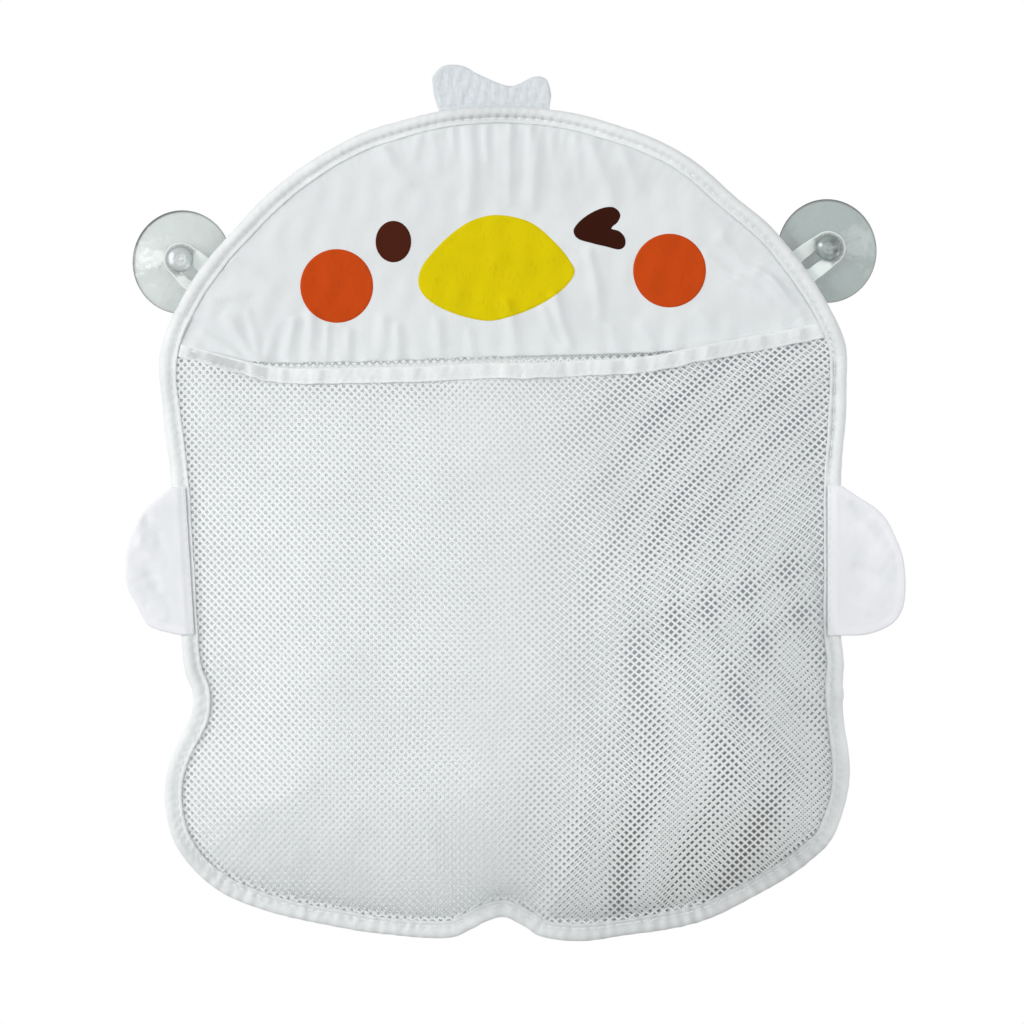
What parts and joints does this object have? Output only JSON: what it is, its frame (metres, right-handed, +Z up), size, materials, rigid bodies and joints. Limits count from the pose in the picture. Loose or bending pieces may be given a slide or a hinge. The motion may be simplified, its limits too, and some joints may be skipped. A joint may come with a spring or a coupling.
{
  "type": "bath toy organizer",
  "caption": "Chick-shaped mesh bag for bath toys: a front net pocket with a bowed mouth, a cloth face panel, side wings and a felt crest, hung on a wall by suction cups on short straps.",
  "frame": {"origin": "midway between the centres of the suction cups, in the plane of the wall that their rims seal against", "axes": "+Z up the wall, +X to the viewer's right, +Y into the wall, so the pocket faces -Y"},
  "size_m": [0.3966, 0.0635, 0.4484],
  "materials": {
    "net": "white knitted polyester mesh",
    "cloth": "white woven polyester, slightly wrinkled",
    "tape": "white binding tape with a lockstitch line",
    "felt": "fluffy light grey felt",
    "rod": "extruded plastic boning",
    "strap": "soft translucent PVC",
    "clear_pvc": "clear soft PVC, polished",
    "print_orange": "heat transfer film",
    "print_yellow": "heat transfer film",
    "print_brown": "heat transfer film"
  },
  "bodies": {
    "bag": {"back_net": "net", "face_cloth": "cloth", "front_net": "net", "mouth_tape": "tape", "head_edge_tape": "tape", "body_edge_tape": "tape", "frame_rod": "rod", "crest_felt": "felt", "beak_print": "print_yellow", "wink_print": "print_brown", "eye_print": "print_brown", "left_cheek_print": "print_orange", "right_cheek_print": "print_orange", "left_wing_seam": "cloth", "right_wing_seam": "cloth", "left_strap_seam": "strap", "right_strap_seam": "strap"},
    "left_wing": {"left_wing_front": "cloth", "left_wing_back": "cloth"},
    "right_wing": {"right_wing_front": "cloth", "right_wing_back": "cloth"},
    "left_strap": {"left_strap_loop": "strap"},
    "right_strap": {"right_strap_loop": "strap"},
    "left_cup": {"left_suction_cup": "clear_pvc"},
    "right_cup": {"right_suction_cup": "clear_pvc"}
  },
  "joints": [
    {"name": "left_strap_flex", "type": "hinge", "parent": "bag", "child": "left_strap", "pos_m": [-0.15729, -0.0103, -0.00864], "axis": [0.5826, 0, 0.8128], "range_deg": [-20, 45], "stiffness_Nm_per_rad": 0.02},
    {"name": "right_strap_flex", "type": "hinge", "parent": "bag", "child": "right_strap", "pos_m": [0.15367, -0.0103, -0.00557], "axis": [0.5864, 0, -0.81], "range_deg": [-20, 60], "stiffness_Nm_per_rad": 0.02},
    {"name": "left_cup_turn", "type": "hinge", "parent": "left_strap", "child": "left_cup", "pos_m": [-0.16533, -0.0103, -0.00287], "axis": [0, 1, 0], "continuous": true},
    {"name": "right_cup_turn", "type": "hinge", "parent": "right_strap", "child": "right_cup", "pos_m": [0.16533, -0.0103, 0.00287], "axis": [0, 1, 0], "continuous": true},
    {"name": "left_wing_flap", "type": "hinge", "parent": "bag", "child": "left_wing", "pos_m": [-0.16928, -0.01795, -0.15723], "axis": [-0.062, 0, 0.9981], "range_deg": [-30, 90], "stiffness_Nm_per_rad": 0.002},
    {"name": "right_wing_flap", "type": "hinge", "parent": "bag", "child": "right_wing", "pos_m": [0.17349, -0.01795, -0.15618], "axis": [0.0006, 0, -1], "range_deg": [-30, 90], "stiffness_Nm_per_rad": 0.002}
  ]
}
